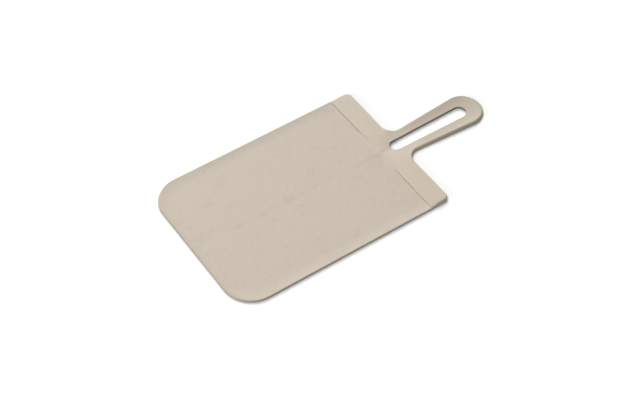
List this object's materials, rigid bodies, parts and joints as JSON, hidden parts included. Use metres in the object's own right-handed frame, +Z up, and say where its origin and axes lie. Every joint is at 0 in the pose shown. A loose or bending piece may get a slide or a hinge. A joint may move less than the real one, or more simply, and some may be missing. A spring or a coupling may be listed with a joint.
{
  "type": "folding cutting board",
  "caption": "Thin rectangular cutting board with a slotted loop handle; film hinges on its centre line let the halves lift into a pouring chute when the handle is squeezed.",
  "frame": {"origin": "on the table, under the middle of the object's length and width", "axes": "+X along the board from its front edge towards the handle, +Y across to the left half, +Z up"},
  "size_m": [0.327, 0.165, 0.0043],
  "materials": {
    "cutting_face": "warm sand-beige plastic with a fine leathery moulded grain",
    "smooth_frame": "the same sand-beige plastic, smooth satin",
    "hinge_film": "the same sand-beige plastic, thin and slightly darker on the fold"
  },
  "bodies": {
    "fold_line": {"centre_film_hinge": "hinge_film", "bow_film_hinge": "hinge_film"},
    "left_half": {"left_panel": "cutting_face", "left_shoulder": "smooth_frame", "left_handle_leg": "smooth_frame", "left_handle_bow": "smooth_frame"},
    "right_half": {"right_panel": "cutting_face", "right_shoulder": "smooth_frame", "right_handle_leg": "smooth_frame", "right_handle_bow": "smooth_frame"}
  },
  "joints": [
    {"name": "left_fold", "type": "hinge", "parent": "fold_line", "child": "left_half", "pos_m": [0, 0, 0.0025], "axis": [1, 0, 0], "range_deg": [0, 45]},
    {"name": "right_fold", "type": "hinge", "parent": "fold_line", "child": "right_half", "pos_m": [0, 0, 0.0025], "axis": [-1, 0, 0], "range_deg": [0, 45]}
  ],
  "couplings": [
    {"joint": "right_fold", "follows": "left_fold", "ratio": 1}
  ]
}
